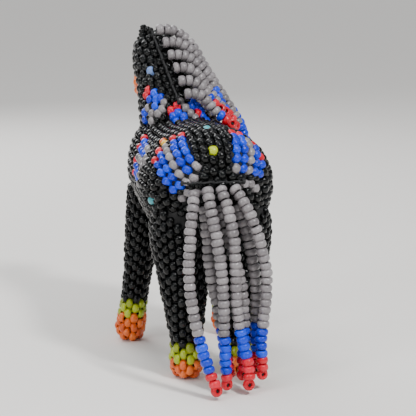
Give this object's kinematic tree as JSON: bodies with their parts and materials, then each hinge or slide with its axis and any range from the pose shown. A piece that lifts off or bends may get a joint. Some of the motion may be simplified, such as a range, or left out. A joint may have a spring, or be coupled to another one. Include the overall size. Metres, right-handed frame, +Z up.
{
  "type": "huichol beaded figure",
  "caption": "Small stuffed horse sewn from glass seed beads, standing on four hooves, with hanging bead strands for its mane and tail.",
  "frame": {"origin": "centre of the figure's footprint, on the surface it stands on", "axes": "the horse faces -Y, +X is its own left and +Z is up"},
  "size_m": [0.0276, 0.0658, 0.0625],
  "materials": {
    "black_beads": "glossy opaque black seed beads",
    "green_beads": "glossy opaque yellow-green seed beads",
    "orange_beads": "glossy opaque orange seed beads",
    "turquoise_bead": "glossy opaque turquoise seed bead",
    "grey_strand": "glossy opaque warm grey seed beads, with blue and coral red ones at the tip",
    "stuffing": "packed cotton wadding",
    "thread": "waxed beading thread"
  },
  "bodies": {
    "horse": {"body_beadwork": "black_beads", "neck_beadwork": "black_beads", "head_beadwork": "black_beads", "left_ear": "black_beads", "right_ear": "black_beads", "muzzle_beadwork": "orange_beads", "hind_left_leg_beadwork": "black_beads", "hind_left_cuff_beadwork": "green_beads", "hind_left_hoof_beadwork": "orange_beads", "hind_left_leg_stuffing": "stuffing", "hind_right_leg_beadwork": "black_beads", "hind_right_cuff_beadwork": "green_beads", "hind_right_hoof_beadwork": "orange_beads", "hind_right_leg_stuffing": "stuffing", "front_left_leg_beadwork": "black_beads", "front_left_cuff_beadwork": "green_beads", "front_left_hoof_beadwork": "orange_beads", "front_left_leg_stuffing": "stuffing", "front_right_leg_beadwork": "black_beads", "front_right_cuff_beadwork": "green_beads", "front_right_hoof_beadwork": "orange_beads", "front_right_leg_stuffing": "stuffing", "body_stuffing": "stuffing", "neck_stuffing": "stuffing", "head_stuffing": "stuffing", "left_eye_bead": "turquoise_bead", "right_eye_bead": "turquoise_bead", "mane_thread": "thread"},
    "tail": {"tail_outer_thread": "thread", "tail_inner_thread": "thread"},
    "tail_strand_1": {"tail_strand_1": "grey_strand"},
    "tail_strand_2": {"tail_strand_2": "grey_strand"},
    "tail_strand_3": {"tail_strand_3": "grey_strand"},
    "tail_strand_4": {"tail_strand_4": "grey_strand"},
    "tail_strand_5": {"tail_strand_5": "grey_strand"},
    "tail_strand_6": {"tail_strand_6": "grey_strand"},
    "tail_strand_7": {"tail_strand_7": "grey_strand"},
    "mane_strand_1": {"mane_strand_1": "grey_strand"},
    "mane_strand_2": {"mane_strand_2": "grey_strand"},
    "mane_strand_3": {"mane_strand_3": "grey_strand"},
    "mane_strand_4": {"mane_strand_4": "grey_strand"},
    "mane_strand_5": {"mane_strand_5": "grey_strand"},
    "mane_strand_6": {"mane_strand_6": "grey_strand"}
  },
  "joints": [
    {"name": "tail_sway", "type": "hinge", "parent": "horse", "child": "tail", "pos_m": [0.0017, 0.02835, 0.0365], "axis": [0, 1, 0], "range_deg": [-12, 12]},
    {"name": "tail_strand_1_lift", "type": "hinge", "parent": "tail", "child": "tail_strand_1", "pos_m": [0.0053, 0.02835, 0.0365], "axis": [1, 0, 0], "range_deg": [0, 60]},
    {"name": "tail_strand_2_lift", "type": "hinge", "parent": "tail", "child": "tail_strand_2", "pos_m": [0.003, 0.02835, 0.0365], "axis": [1, 0, 0], "range_deg": [0, 60]},
    {"name": "tail_strand_3_lift", "type": "hinge", "parent": "tail", "child": "tail_strand_3", "pos_m": [0.0007, 0.02835, 0.0365], "axis": [1, 0, 0], "range_deg": [0, 60]},
    {"name": "tail_strand_4_lift", "type": "hinge", "parent": "tail", "child": "tail_strand_4", "pos_m": [-0.0016, 0.02835, 0.0365], "axis": [1, 0, 0], "range_deg": [0, 60]},
    {"name": "tail_strand_5_lift", "type": "hinge", "parent": "tail", "child": "tail_strand_5", "pos_m": [0.0033, 0.02825, 0.0335], "axis": [1, 0, 0], "range_deg": [0, 54]},
    {"name": "tail_strand_6_lift", "type": "hinge", "parent": "tail", "child": "tail_strand_6", "pos_m": [0.0007, 0.02825, 0.0335], "axis": [1, 0, 0], "range_deg": [0, 54]},
    {"name": "tail_strand_7_lift", "type": "hinge", "parent": "tail", "child": "tail_strand_7", "pos_m": [-0.0022, 0.02825, 0.0335], "axis": [1, 0, 0], "range_deg": [0, 54]},
    {"name": "mane_strand_1_lift", "type": "hinge", "parent": "horse", "child": "mane_strand_1", "pos_m": [0.00475, -0.0094, 0.06071], "axis": [-0.1546, 0.677, -0.7196], "range_deg": [0, 45]},
    {"name": "mane_strand_2_lift", "type": "hinge", "parent": "horse", "child": "mane_strand_2", "pos_m": [0.00424, -0.00715, 0.05832], "axis": [-0.1546, 0.677, -0.7196], "range_deg": [0, 45]},
    {"name": "mane_strand_3_lift", "type": "hinge", "parent": "horse", "child": "mane_strand_3", "pos_m": [0.00373, -0.00491, 0.05593], "axis": [-0.1546, 0.677, -0.7196], "range_deg": [0, 45]},
    {"name": "mane_strand_4_lift", "type": "hinge", "parent": "horse", "child": "mane_strand_4", "pos_m": [0.00321, -0.00266, 0.05355], "axis": [-0.1546, 0.677, -0.7196], "range_deg": [0, 45]},
    {"name": "mane_strand_5_lift", "type": "hinge", "parent": "horse", "child": "mane_strand_5", "pos_m": [0.0027, -0.00042, 0.05116], "axis": [-0.1546, 0.677, -0.7196], "range_deg": [0, 45]},
    {"name": "mane_strand_6_lift", "type": "hinge", "parent": "horse", "child": "mane_strand_6", "pos_m": [0.00219, 0.00183, 0.04877], "axis": [-0.1546, 0.677, -0.7196], "range_deg": [0, 45]}
  ],
  "couplings": [
    {"joint": "tail_strand_5_lift", "follows": "tail_strand_2_lift", "ratio": 0.9},
    {"joint": "tail_strand_6_lift", "follows": "tail_strand_3_lift", "ratio": 0.9},
    {"joint": "tail_strand_7_lift", "follows": "tail_strand_4_lift", "ratio": 0.9},
    {"joint": "mane_strand_2_lift", "follows": "mane_strand_1_lift", "ratio": 1},
    {"joint": "mane_strand_3_lift", "follows": "mane_strand_1_lift", "ratio": 1},
    {"joint": "mane_strand_4_lift", "follows": "mane_strand_1_lift", "ratio": 1},
    {"joint": "mane_strand_5_lift", "follows": "mane_strand_1_lift", "ratio": 1},
    {"joint": "mane_strand_6_lift", "follows": "mane_strand_1_lift", "ratio": 1}
  ]
}
